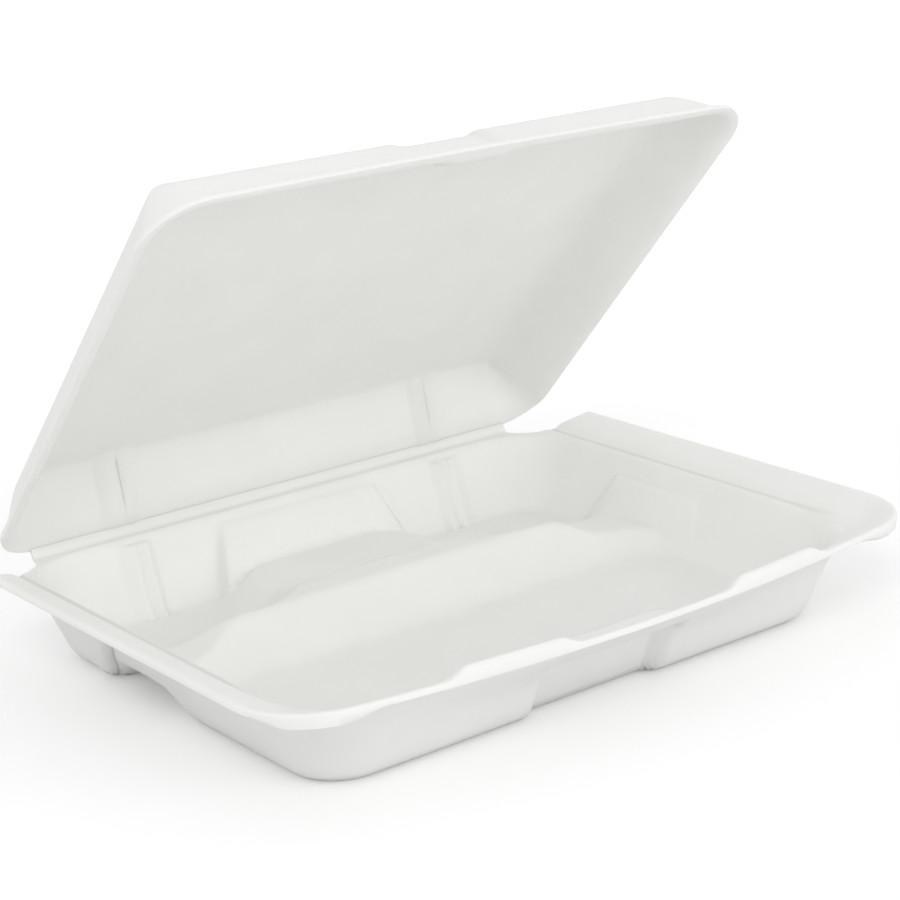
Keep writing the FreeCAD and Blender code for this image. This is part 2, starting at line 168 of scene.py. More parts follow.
# how softly two faces meet, in millimetres
FLOOR_SOFT = 3.0
SLOPE_SOFT = 4.0
TOP_SOFT = 2.0
BREAK_SOFT = 2.0
WALL_SOFT = 5.0
ENDS_LESS_SOFT = 3.6
PAD_SOFT = 1.0
PAD_TOP_SOFT = 0.8
BUTTRESS_SOFT = 1.6
BUTTRESS_TOP_SOFT = 7.0
HUMP_SOFT = 0.5
HUMP_TOP_SOFT = 1.5
RECESS_SOFT = 1.2
RECESS_TOP_SOFT = 1.5
CREASE_SOFT = 2.2
CREASE_FRONT_SOFT = 6.0
CREASE_FRONT_SPAN = (-152.0, -118.0)
CREASE_BACK_SOFT = 2.6
CREASE_BACK_SPAN = (-16.0, -8.0)
LID_FOOT_SOFT = 1.6
LID_HINGE_SOFT = 3.6
LID_HINGE_SPAN = (5.0, 14.0)

# the pressed web's section, as (y, z) from the hinge line, and its end in the closed lid's lip, with z
# measured over the gap; then where the point before that end lies
WEB_PATH = ((-1.6, -1.3), (-0.8, -1.3), (0.2, -1.0), (0.9, -0.3))
WEB_LIP = (-0.3, 0.5)
WEB_NEAR_LIP_SHARE = 0.6
WEB_NEAR_LIP_BACK = 0.5
WEB_COLUMNS = 48

# painted shade along the crease where the side walls turn into the flanges, standing in for the shade that
# falls in that crease: where it lies, in metres, and how much darker it makes the colour
PAINTED_CREASE_X = 0.1046
PAINTED_CREASE_REACH = 0.0015
PAINTED_CREASE_FRONT_Y = -0.068
PAINTED_CREASE_FULL_Y = -0.034
PAINTED_CREASE_TOP_Z = 0.0300
PAINTED_CREASE_TOP_EASE = 0.002
PAINTED_CREASE_SHADE = 0.17

# the meshes: points along the front and along a side, and rings between the loops of an outline
TRAY_GRID = (150, 112)
TRAY_WALL_RINGS = 21
TRAY_FLOOR_RINGS = 5
FLANGE_STEPS = (0.20, 0.21, 0.32, 0.44, 0.56, 0.66, 0.75, 0.80, 0.84, 0.88, 0.92, 0.96)
LID_GRID = (132, 104)
LID_RIM_STEPS = (0.0, 0.12, 0.28, 0.46, 0.66, 0.84)
LID_WALL_RINGS = 17
LID_TOP_RINGS = 11
TRAY_NORMAL_STEP = 1.1
LID_NORMAL_STEP = 0.9
SHARP_ANGLE = math.radians(50)

# the loops inside the two outlines: the radii of their front and back corners, and how far in they lie
CREASE_LOOP_R = (20.0, 19.0)
FOOT_LOOP_R = (15.0, 13.0)
FLOOR_LOOP_R = (11.0, 10.0)
FLOOR_LOOP_IN = 6.0
LID_FOOT_OUT = 1.6
LID_FOOT_BACK = 3.0
LID_FOOT_LESS_R = 2.0
LID_TOP_IN = 14.0
LID_TOP_FRONT_IN = 2.0
LID_TOP_BACK_IN = 9.0
LID_TOP_R = 12.0
LID_MIDDLE_IN = 14.0
LID_MIDDLE_R = 9.0

# where the columns of the meshes crowd, as shares of half the width, and by how much
CROWD = (0.22, 0.30, 0.72, 0.80)
CROWD_GAIN = 0.9

# how a cut edge rounds off: distance in as a share of the flange, fall in millimetres, and the part of the
# thickness that is kept; then over how many rings the lower face leaves the straight way down
EDGE_STEPS = (0.0, 0.02, 0.05, 0.09, 0.14)
EDGE_FALL = (1.1, 0.72, 0.38, 0.16, 0.04)
EDGE_KEEP = (0.50, 0.68, 0.84, 0.93, 0.985)
EDGE_EASE_RINGS = 4.0

# the foam's faint clouds: how many to the metre, the noise values they run between, and the darkest tone
CLOUD_SCALE = 45.0
CLOUD_SPAN = (0.3, 0.7)
CLOUD_DARKEST = 0.975
SPECULAR = 0.35
BUMP_STRENGTH = 0.6
MERGE_DISTANCE = 0.000002

# the stage: the floor's reach, colour and glow, where the lamps stand and how wide they are, and the camera;
# lengths in metres, but the sensor in millimetres
FLOOR_REACH = 6.0
FLOOR_COLOUR = (0.86, 0.86, 0.86, 1.0)
FLOOR_GLOW = 0.2
FLOOR_FAR_GLOW = 0.45
FLOOR_GLOW_SPAN = (0.1, 0.7)
LAMP_TARGET = (0.0, 0.0, 0.05)
KEY_PLACE = (-0.85, -0.85, 0.98)
KEY_SIZE = 0.5
FILL_PLACE = (0.75, -1.5, 0.5)
FILL_SIZE = 1.0
SENSOR = 36.0
CLIP_END = 20.0


class FoamSettings(bpy.types.PropertyGroup):
    colour: FloatVectorProperty(name="Colour", description="Colour of the foam", subtype="COLOR", size=4,
                                min=0.0, max=1.0, default=(0.88, 0.88, 0.862, 1.0))
    roughness: FloatProperty(name="Roughness", description="How dull the skin is",
                             default=0.52, min=0.0, max=1.0)
    scatter: FloatProperty(name="Scatter", description="Share of the light that goes into the foam",
                           default=0.4, min=0.0, max=1.0)
    scatter_reach: FloatProperty(name="Scatter reach", description="How far light goes in the foam",
                                 default=0.003, unit="LENGTH")
    grain_size: FloatProperty(name="Grain", description="Width of the foam's cells",
                              default=0.0011, unit="LENGTH")
    grain_height: FloatProperty(name="Grain height", description="Height of the cells in the skin",
                                default=0.00006, unit="LENGTH")
    wave_size: FloatProperty(name="Wave", description="Width of the soft unevenness",
                             default=0.03, unit="LENGTH")
    wave_height: FloatProperty(name="Wave height", description="Height of the soft unevenness",
                               default=0.00012, unit="LENGTH")


class TrayShape(bpy.types.PropertyGroup):
    sheet: FloatProperty(name="Sheet", description="Thickness of the foam", default=0.0023, unit="LENGTH")
    floor: FloatProperty(name="Floor", description="Height of the compartments' floors", default=0.00245,
                         unit="LENGTH")
    ridge: FloatProperty(name="Divider", description="Height of the long divider", default=0.016,
                         unit="LENGTH")
    saddle: FloatProperty(name="Saddle", description="Height of the long divider's ends", default=0.0093,
                          unit="LENGTH")
    plateau: FloatProperty(name="Plateau", description="Height between the small compartments", default=0.011,
                           unit="LENGTH")
    pad_top: FloatProperty(name="Pad top", description="Height of the pads on the side walls", default=0.021,
                           unit="LENGTH")
    pad_depth: FloatProperty(name="Pad depth", description="How far the pads stand in", default=0.0025,
                             unit="LENGTH")
    buttress_depth: FloatProperty(name="Buttress",
                                  description="How far the cross divider's back stands in at its foot",
                                  default=0.0075, unit="LENGTH")
    rib_depth: FloatProperty(name="Ribs", description="Depth of the ribs near the hinge", default=0.0025,
                             unit="LENGTH")
    groove: FloatProperty(name="Groove", description="Depth of the line where the walls turn into the flange",
                          default=0.0011, unit="LENGTH")
    recess_half: FloatProperty(name="Recess", description="Half the width of the front recess", default=0.019,
                               unit="LENGTH")
    recess_depth: FloatProperty(name="Recess depth", description="Depth of the front recess", default=0.0045,
                                unit="LENGTH")
    lock_rise: FloatProperty(name="Locks", description="Height of the locking crests over the rim",
                             default=0.0030, unit="LENGTH")
    skirt: FloatProperty(name="Skirt", description="Depth of the skirt under the front corners",
                         default=0.0022, unit="LENGTH")


class LidShape(bpy.types.PropertyGroup):
    sheet: FloatProperty(name="Sheet", description="Thickness of the foam", default=0.0023, unit="LENGTH")
    fillet: FloatProperty(name="Fillet", description="Softness of the edge round the lid's top",
                          default=0.0068, unit="LENGTH")
    rib_depth: FloatProperty(name="Ribs", description="Depth of the ribs near the hinge", default=0.0025,
                             unit="LENGTH")
    recess_half: FloatProperty(name="Recess", description="Half the width of the front recess at its foot",
                               default=0.008, unit="LENGTH")
    recess_depth: FloatProperty(name="Recess depth", description="Depth of the front recess", default=0.0022,
                                unit="LENGTH")
    web: FloatProperty(name="Web", description="Thickness of the pressed hinge", default=0.0011,
                       unit="LENGTH")


class StageSettings(bpy.types.PropertyGroup):
    place: FloatVectorProperty(name="Camera", description="Where the camera stands", subtype="TRANSLATION",
                               size=3, default=(-0.4008, -0.5257, 0.2629))
    azimuth: FloatProperty(name="Azimuth", description="Camera's angle round the object", subtype="ANGLE",
                           default=math.radians(-37.4))
    elevation: FloatProperty(name="Elevation", description="Camera's angle over the floor", subtype="ANGLE",
                             default=math.radians(17.1))
    roll: FloatProperty(name="Roll", description="Camera's tilt", subtype="ANGLE",
                        default=math.radians(-2.6))
    lens: FloatProperty(name="Lens", description="Focal length", default=93.304, min=1.0, max=500.0)
    key: FloatProperty(name="Key lamp", description="Power of the main lamp", default=3.6, min=0.0)
    fill: FloatProperty(name="Fill lamp", description="Power of the lamp in front", default=4.6, min=0.0)
    sky: FloatProperty(name="Sky", description="Strength of the even light", default=0.81, min=0.0)


def smooth_min(a, b, k):
    h = np.clip(0.5 + 0.5 * (b - a) / k, 0.0, 1.0)
    return b + (a - b) * h - k * h * (1.0 - h)


def smooth_max(a, b, k):
    return -smooth_min(-a, -b, k)


def ramp(value, start, end):
    """0 before start and 1 after end, with a soft step between them."""
    t = np.clip((value - start) / (end - start), 0.0, 1.0)
    return t * t * (3.0 - 2.0 * t)


def round_corner(a, b, r):
    """The larger of two slopes, rounded where they meet."""
    both = np.hypot(np.maximum(a + r, 0.0), np.maximum(b + r, 0.0)) - r
    return np.where((a > -r) & (b > -r), both, np.maximum(a, b))


def arc(cx, cy, r, start, end, steps=24):
    angles = np.radians(np.linspace(start, end, steps + 1))
    return np.stack([cx + r * np.cos(angles), cy + r * np.sin(angles)], 1)


def resample(points, count, gain):
    """Points set along a line, closer together over the small forms where gain is more than 0."""
    points = np.asarray(points, float)
    run = np.concatenate([[0.0], np.cumsum(np.hypot(*np.diff(points, axis=0).T))])
    share = np.linspace(0.0, 1.0, 2001)
    out = np.abs(2.0 * share - 1.0)
    density = 1.0 + gain * ramp(out, CROWD[0], CROWD[1]) * (1.0 - ramp(out, CROWD[2], CROWD[3]))
    grown = np.concatenate([[0.0], np.cumsum((density[1:] + density[:-1]) / 2)])
    at = np.interp(np.linspace(0.0, 1.0, count + 1), grown / grown[-1], share) * run[-1]
    return np.stack([np.interp(at, run, points[:, k]) for k in (0, 1)], 1)


def bowed(half, y, bow, steps=60):
    x = np.linspace(-half, half, steps + 1)
    return np.stack([x, y - bow * np.clip(1.0 - (x / half) ** 2, 0.0, 1.0)], 1)


def rounded_sides(half, y0, y1, front_r, back_r, bow=0.0):
    """Front, right, back and left side of a rounded outline, each from mid-corner to mid-corner."""
    fx, bx = half - front_r, half - back_r
    fy, by = y0 + front_r, y1 - back_r
    front = np.vstack([arc(-fx, fy, front_r, 225, 270), bowed(fx, y0, bow)[1:-1],
                       arc(fx, fy, front_r, 270, 315)])
    right = np.vstack([arc(fx, fy, front_r, 315, 360), arc(bx, by, back_r, 0, 45)])
    back = np.vstack([arc(bx, by, back_r, 45, 90), arc(-bx, by, back_r, 90, 135)])
    left = right[::-1] * [-1.0, 1.0]
    return front, right, back, left


def tray_outline_sides():
    """Cut outline of the tray, with its ears beside the hinge."""
    half, y, r = FLANGE_HALF - EDGE_INSET, RIM_FRONT_Y, RIM_CORNER_R
    front = np.vstack([arc(r - half, y + r, r, 225, 270), bowed(half - r, y, RIM_BOW)[1:-1],
                       arc(half - r, y + r, r, 270, 315)])
    middle = (np.array(EAR[1]) + np.array(EAR[2])) / 2
    right = np.vstack([arc(half - r, y + r, r, 315, 360), EAR[:2], [middle]])
    back = np.vstack([[middle], EAR[2:], [(-x, v) for x, v in EAR[:1:-1]], [middle * [-1.0, 1.0]]])
    left = right[::-1] * [-1.0, 1.0]
    return front, right, back, left


def side_loop(sides, across, along):
    """One closed ring of points from four sides."""
    counts = (across, along, across, along)
    gains = (CROWD_GAIN, 0.0, CROWD_GAIN, 0.0)
    return np.vstack([resample(side, count, gain)[:-1] for side, count, gain in zip(sides, counts, gains)])


def shares(count):
    """Even shares of the way from one loop to the next, without the last."""
    return np.linspace(0.0, 1.0, count + 1)[:-1]


def patch(loops, steps, across, along):
    """Plan points and faces of rings from the first loop inwards, and a grid inside the last loop."""
    rings = []
    for outer, inner, fractions in zip(loops, loops[1:], steps):
        rings += [outer + (inner - outer) * t for t in fractions]
    rings.append(loops[-1])
    count = len(loops[0])
    points = list(np.vstack(rings))
    around = np.arange(count)
    after = (around + 1) % count
    faces = []
    for k in range(len(rings) - 1):
        a, b = k * count, (k + 1) * count
        faces += list(np.stack([a + around, a + after, b + after, b + around], 1))
    last = (len(rings) - 1) * count
    ring = rings[-1]
    front = np.arange(across + 1)
    right = across + np.arange(along + 1)
    back = (2 * across + along - np.arange(across + 1))
    left = (2 * across + 2 * along - np.arange(along + 1)) % count
    grid = np.empty((along + 1, across + 1), int)
    grid[0], grid[-1], grid[:, 0], grid[:, -1] = last + front, last + back, last + left, last + right
    u = np.linspace(0.0, 1.0, across + 1)[1:-1, None]
    start = len(points)
    for j in range(1, along):
        v = j / along
        line = (1 - v) * ring[front[1:-1]] + v * ring[back[1:-1]]
        line += (1 - u) * ring[left[j]] + u * ring[right[j]]
        line -= (1 - u) * (1 - v) * ring[front[0]] + u * (1 - v) * ring[front[-1]]
        line -= (1 - u) * v * ring[back[0]] + u * v * ring[back[-1]]
        grid[j, 1:-1] = start + np.arange(across - 1)
        start += across - 1
        points += list(line)
    cells = np.stack([grid[:-1, :-1], grid[:-1, 1:], grid[1:, 1:], grid[1:, :-1]], -1).reshape(-1, 4)
    return np.array(points), np.vstack([np.array(faces), cells]), count


def rim_bow(x):
    return RIM_BOW * np.clip(1.0 - (x / (FLANGE_HALF - RIM_CORNER_R)) ** 2, 0.0, 1.0)


def hump_profile(across):
    """Section across a broad grooved rib, from 0 beside it to 1 on its lips."""
    places = (-GROOVE_HALF - HUMP_INNER, -GROOVE_HALF, 0.0, GROOVE_HALF, GROOVE_HALF + HUMP_OUTER)
    return np.interp(across - HUMP_X, places, (0.0, 1.0, GROOVE_SHARE, 1.0, 0.0))


def lock_height(x, y, shape):
    """Height of the locking crests over the front rim."""
    inward = y - (RIM_FRONT_Y - rim_bow(x))
    crest = ramp(LOCK_HALF - np.abs(np.abs(x) - LOCK_X), 0.0, LOCK_END)
    rise = LOCK_EDGE_SHARE + (1.0 - LOCK_EDGE_SHARE) * ramp(inward, 0.0, LOCK_TOP_IN)
    section = rise - ramp(inward, *LOCK_FALL_SPAN)
    return shape.lock_rise / MM * crest * section


def tray_height(x, y, shape):
    """Height of the tray's upper face over the ground, in millimetres."""
    floor, ridge, saddle = shape.floor / MM, shape.ridge / MM, shape.saddle / MM
    plateau, pad_top, pad = shape.plateau / MM, shape.pad_top / MM, shape.pad_depth / MM
    across = np.abs(x)
    bow = rim_bow(x)

    # the outer wall all round, as a height over the floor
    break_y = FRONT_Y - FRONT_LEAN * (BREAK_Z - floor)
    side = (across - FLOOR_HALF) / SIDE_LEAN
    low_front = (FRONT_Y - y) / FRONT_LEAN
    high_front = BREAK_Z - floor + (break_y - y) / (FRONT_LEAN + bow / (CREASE_Z - BREAK_Z))
    front = smooth_min(low_front, high_front, BREAK_SOFT)
    back = (y - BACK_Y) / BACK_LEAN

    def side_wall(shift):
        return floor + side + shift / SIDE_LEAN

    wall = floor + np.maximum(round_corner(side, front, FRONT_CORNER_R),
                              round_corner(side, back, BACK_CORNER_R))

    # dividers between the compartments
    past_arc = np.hypot(np.maximum(across - (FLOOR_HALF - COMPARTMENT_R), 0.0),
                        np.maximum(y - DIVIDER_FRONT_Y + COMPARTMENT_R, 0.0)) - COMPARTMENT_R
    small_x, small_y = (FLOOR_HALF + CROSS_HALF) / 2, (DIVIDER_BACK_Y + BACK_Y) / 2
    past_x = np.abs(across - small_x) - (FLOOR_HALF - CROSS_HALF) / 2 + SMALL_R
    past_y = np.abs(y - small_y) - (BACK_Y - DIVIDER_BACK_Y) / 2 + SMALL_R
    past_small = np.hypot(np.maximum(past_x, 0.0), np.maximum(past_y, 0.0))
    past_small = past_small + np.minimum(np.maximum(past_x, past_y), 0.0) - SMALL_R
    top = ridge - (ridge - saddle) * ramp(across, *SADDLE_SPAN)
    top = plateau + (top - plateau) * ramp(-y, *PLATEAU_STEP_SPAN)
    # the plateau is a little crowned, and its back corners are rounded off
    middle_y = (PLATEAU_BACK_Y + DIVIDER_BACK_Y) / 2
    crown = np.clip(1.0 - ((y - middle_y) / PLATEAU_CROWN_REACH) ** 2, 0.0, 1.0)
    top = top + PLATEAU_CROWN * crown * np.clip(1.0 - (x / PLATEAU_HALF) ** 2, 0.0, 1.0)
    past_plateau = np.hypot(np.maximum(across - PLATEAU_HALF + PLATEAU_R, 0.0),
                            np.maximum(y - PLATEAU_BACK_Y + PLATEAU_R, 0.0)) - PLATEAU_R
    free = PLATEAU_FREE_RISE * ramp(-y, *PLATEAU_FREE_SPAN)
    top = smooth_min(top, plateau - past_plateau + free, TOP_SOFT)
    body = smooth_min(smooth_min(floor + past_arc, floor + past_small, SLOPE_SOFT), top, TOP_SOFT)
    height = smooth_max(body, floor, FLOOR_SOFT)
    # the divider's ends meet the side walls in a crisp crease
    ends = ramp(across, *ENDS_SPAN) * ramp(y, *ENDS_FRONT_SPAN) * ramp(-y, *ENDS_BACK_SPAN)
    height = smooth_max(height, wall, WALL_SOFT - ENDS_LESS_SOFT * ends)

    # pads on the side walls, over the divider's ends, thinner towards the front, where a fine line ends them
    pad = pad * (1.0 - PAD_THIN_SHARE * ramp(-y, *PAD_THIN_SPAN))
    level = np.clip(side_wall(pad), floor, pad_top)
    front_edge = PAD_FRONT_Y + PAD_FRONT_LEAN * (level - floor)
    back_edge = PAD_BACK_Y - PAD_BACK_LEAN * (level - saddle)
    inside = ramp(y - front_edge, *PAD_FRONT_EASE) * ramp(back_edge - y, *PAD_BACK_EASE)
    face = smooth_min(side_wall(pad * inside), pad_top, PAD_TOP_SOFT)
    height = np.where(inside > 0.0, smooth_max(height, face, PAD_SOFT), height)
    on_wall = ramp(wall, *PAD_LINE_FOOT_SPAN) * ramp(pad_top - wall, -PAD_LINE_END, PAD_LINE_END)
    on_wall = on_wall * ramp(across, *PAD_LINE_X_SPAN)
    height = height - PAD_LINE_DEPTH * on_wall * np.exp(-((y - front_edge) / PAD_LINE_REACH) ** 2)

    # the cross divider's back, a wedge that stands out more at its foot, and the ribs beside it
    wall_rise = (y - BACK_Y) / BACK_LEAN
    deep = shape.buttress_depth / MM
    lean = BACK_LEAN + (deep - BUTTRESS_TOP_DEPTH) / (BUTTRESS_TOP_Z - floor)
    wedge_rise = (y - BACK_Y + deep) / lean
    level = np.clip(wedge_rise, 0.0, BUTTRESS_TOP_Z - floor) / (BUTTRESS_TOP_Z - floor)
    half = BUTTRESS_FOOT_HALF + (BUTTRESS_TOP_HALF - BUTTRESS_FOOT_HALF) * level
    inside = ramp(half - across, *BUTTRESS_EASE)
    face = smooth_min(floor + wall_rise + (wedge_rise - wall_rise) * inside,
                      BUTTRESS_TOP_Z, BUTTRESS_TOP_SOFT)
    height = np.where(inside > 0.0, smooth_max(height, face, BUTTRESS_SOFT), height)
    share = hump_profile(across)
    face = smooth_min(floor + wall_rise + shape.rib_depth / MM * share / BACK_LEAN,
                      CREASE_Z - HUMP_TOP_GAP, HUMP_TOP_SOFT)
    height = np.where(share > 0.0, smooth_max(height, face, HUMP_SOFT), height)

    # the front recess shows inside as a block
    deep, half = shape.recess_depth / MM, shape.recess_half / MM
    inside = np.clip((half + deep + RECESS_EASE - across) / deep, 0.0, 1.0)
    face = smooth_min(floor + (FRONT_Y - y + deep * inside) / FRONT_LEAN, RECESS_TOP_Z, RECESS_TOP_SOFT)
    height = np.where(inside > 0.0, smooth_max(height, face, RECESS_SOFT), height)

    # the flange
    crease_half = FLANGE_HALF - FLANGE_LEAN * EDGE_RISE
    side_rise = (across - crease_half) / FLANGE_LEAN
    front_crease = FRONT_Y - FRONT_LEAN * (CREASE_Z - floor)
    front_rise = (front_crease - bow - y) * EDGE_RISE / (front_crease - RIM_FRONT_Y)
    flange = CREASE_Z + np.maximum(round_corner(side_rise, front_rise, FLANGE_CORNER_R), -FLANGE_LOW)
    # the turn into the flange is crisp along the sides, and soft at the hinge and round the front corners
    softness = CREASE_SOFT + CREASE_FRONT_SOFT * (1.0 - ramp(y, *CREASE_FRONT_SPAN))
    softness = softness + CREASE_BACK_SOFT * ramp(y, *CREASE_BACK_SPAN)
    height = smooth_min(height, flange, softness)
    # a shallow valley follows it, just outside
    valley = np.exp(-((across - crease_half - GROOVE_OUT) / GROOVE_REACH) ** 2)
    height = height - shape.groove / MM * valley * ramp(y, *GROOVE_SPAN)
    return height + lock_height(x, y, shape)


def lid_height(x, b, shape):
    """Height of the lid's outer face over its rim plane, in millimetres, in the closed pose."""
    sheet = shape.sheet / MM
    top = LID_DEPTH + sheet

    def slope(inward, lean):
        return inward / lean + sheet * math.sqrt(1.0 + lean * lean) / lean

    across = np.abs(x)
    side = slope(LID_HALF - LID_RIM - across, LID_LEAN)
    level = np.clip(slope(LID_LENGTH - LID_RIM - b, LID_FRONT_LEAN), 0.0, top)
    half = (shape.recess_half + shape.recess_depth) / MM + LID_RECESS_SPREAD * level
    inside = ramp(half - across, -LID_RECESS_EASE, LID_RECESS_EASE)
    front = slope(LID_LENGTH - LID_RIM - b - shape.recess_depth / MM * inside, LID_FRONT_LEAN)
    ribs = shape.rib_depth / MM * hump_profile(across) / LID_BACK_LEAN
    hinge = slope(b - LID_BACK_FOOT, LID_BACK_LEAN) - ribs
    wall = -np.maximum(round_corner(-side, -front, LID_FRONT_CORNER_R),
                       round_corner(-side, -hinge, LID_BACK_CORNER_R))
    height = smooth_min(wall, top, shape.fillet / MM)
    # the foot of the walls is crisp, but soft beside the hinge
    return smooth_max(height, sheet, LID_FOOT_SOFT + LID_HINGE_SOFT * (1.0 - ramp(b, *LID_HINGE_SPAN)))


def unit_normals(height, x, y, step):
    """Upward unit normals of a height field, smoothed over the step."""
    gx = (height(x + step, y) - height(x - step, y)) / (2 * step)
    gy = (height(x, y + step) - height(x, y - step)) / (2 * step)
    normals = np.stack([-gx, -gy, np.ones_like(gx)], 1)
    return normals / np.linalg.norm(normals, axis=1)[:, None]


def rounded_edge(points, under, count, sheet, drop):
    """Turns the outer rings of a sheet's upper face down to a soft cut edge, over a skirt where one drops."""
    for ring, (down, part) in enumerate(zip(EDGE_FALL, EDGE_KEEP)):
        rows = slice(ring * count, (ring + 1) * count)
        points[rows, 2] -= down
        under[rows, 2] *= part
    # the skirt hangs from just inside the cut edge
    for ring in range(1, len(EDGE_STEPS)):
        under[ring * count:(ring + 1) * count, 2] -= drop / sheet


def sheet_object(name, points, under, faces, material, foam, shape):
    """Moulded sheet: an open upper face with the offset to its lower face kept on its points."""
    mesh = bpy.data.meshes.new(name)
    mesh.from_pydata((points * MM).tolist(), [], faces.tolist())
    store = mesh.attributes.new("under", "FLOAT_VECTOR", "POINT")
    store.data.foreach_set("vector", under.ravel())
    piece = bpy.data.objects.new(name, mesh)
    bpy.context.scene.collection.objects.link(piece)
    modifier = piece.modifiers.new("Moulded sheet", "NODES")
    tree = moulded_sheet_tree()
    modifier.node_group = tree
    values = {"Thickness": shape.sheet, "Wave size": foam.wave_size, "Wave height": foam.wave_height,
              "Material": material}
    for item in tree.interface.items_tree:
        if item.item_type == "SOCKET" and item.in_out == "INPUT" and item.name in values:
            modifier[item.identifier] = values[item.name]
    evaluated = piece.evaluated_get(bpy.context.evaluated_depsgraph_get())
    solid = bpy.data.meshes.new_from_object(evaluated)
    piece.modifiers.remove(modifier)
    piece.data = solid
    solid.name = name
    solid.set_sharp_from_angle(angle=SHARP_ANGLE)
    return piece


def maths(tree, operation, a, b):
    """Result of a Math node that takes numbers or other results."""
    node = tree.nodes.new("ShaderNodeMath")
    node.operation = operation
    for socket, value in zip(node.inputs, (a, b)):
        if isinstance(value, (int, float)):
            socket.default_value = value
        else:
            tree.links.new(value, socket)
    return node.outputs[0]


def mapped(tree, value, span, first, last, kind="SMOOTHSTEP"):
    """Result of a Map Range node that goes from first to last while the value crosses the span."""
    node = tree.nodes.new("ShaderNodeMapRange")
    node.interpolation_type = kind
    for label, number in zip(("From Min", "From Max", "To Min", "To Max"), (*span, first, last)):
        node.inputs[label].default_value = number
    tree.links.new(value, node.inputs["Value"])
    return node.outputs["Result"]


def moulded_sheet_tree():
    """Gives an open surface its thickness, along the offsets stored on its points, and a soft unevenness."""
    name = "Moulded sheet"
    if name in bpy.data.node_groups:
        return bpy.data.node_groups[name]
    tree = bpy.data.node_groups.new(name, "GeometryNodeTree")
    tree.is_modifier = True
    face = tree.interface
    face.new_socket("Geometry", in_out="INPUT", socket_type="NodeSocketGeometry")
    for label in ("Thickness", "Wave size", "Wave height"):
        face.new_socket(label, in_out="INPUT", socket_type="NodeSocketFloat")
    face.new_socket("Material", in_out="INPUT", socket_type="NodeSocketMaterial")
    face.new_socket("Geometry", in_out="OUTPUT", socket_type="NodeSocketGeometry")
    nodes, link = tree.nodes, tree.links.new
    source = nodes.new("NodeGroupInput")
    result = nodes.new("NodeGroupOutput")

    # the unevenness is made before the thickness, so both faces move together
    noise = nodes.new("ShaderNodeTexNoise")
    noise.inputs["Detail"].default_value = 1.0
    link(maths(tree, "DIVIDE", 1.0, source.outputs["Wave size"]), noise.inputs["Scale"])
    level = maths(tree, "SUBTRACT", noise.outputs["Fac"], 0.5)
    height = maths(tree, "MULTIPLY", level, source.outputs["Wave height"])
    lift = nodes.new("ShaderNodeVectorMath")
    lift.operation = "SCALE"
    link(nodes.new("GeometryNodeInputNormal").outputs["Normal"], lift.inputs[0])
    link(height, lift.inputs["Scale"])
    waved = nodes.new("GeometryNodeSetPosition")
    link(source.outputs["Geometry"], waved.inputs["Geometry"])
    link(lift.outputs[0], waved.inputs["Offset"])

    pull = nodes.new("GeometryNodeExtrudeMesh")
    pull.mode = "FACES"
    pull.inputs["Individual"].default_value = False
    pull.inputs["Offset Scale"].default_value = 0.0
    link(waved.outputs[0], pull.inputs["Mesh"])
    under = nodes.new("GeometryNodeInputNamedAttribute")
    under.data_type = "FLOAT_VECTOR"
    under.inputs["Name"].default_value = "under"
    depth = nodes.new("ShaderNodeVectorMath")
    depth.operation = "SCALE"
    link(under.outputs["Attribute"], depth.inputs[0])
    link(source.outputs["Thickness"], depth.inputs["Scale"])
    lower = nodes.new("GeometryNodeSetPosition")
    link(pull.outputs["Mesh"], lower.inputs["Geometry"])
    link(pull.outputs["Top"], lower.inputs["Selection"])
    link(depth.outputs[0], lower.inputs["Offset"])
    turned = nodes.new("GeometryNodeFlipFaces")
    link(lower.outputs[0], turned.inputs["Mesh"])

    both = nodes.new("GeometryNodeJoinGeometry")
    link(waved.outputs[0], both.inputs[0])
    link(turned.outputs[0], both.inputs[0])
    closed = nodes.new("GeometryNodeMergeByDistance")
    closed.inputs["Distance"].default_value = MERGE_DISTANCE
    link(both.outputs[0], closed.inputs["Geometry"])
    smooth = nodes.new("GeometryNodeSetShadeSmooth")
    link(closed.outputs[0], smooth.inputs["Geometry"])
    real = nodes.new("GeometryNodeRealizeInstances")
    link(smooth.outputs[0], real.inputs[0])
    finish = nodes.new("GeometryNodeSetMaterial")
    link(real.outputs[0], finish.inputs["Geometry"])
    link(source.outputs["Material"], finish.inputs["Material"])
    link(finish.outputs[0], result.inputs[0])
    return tree


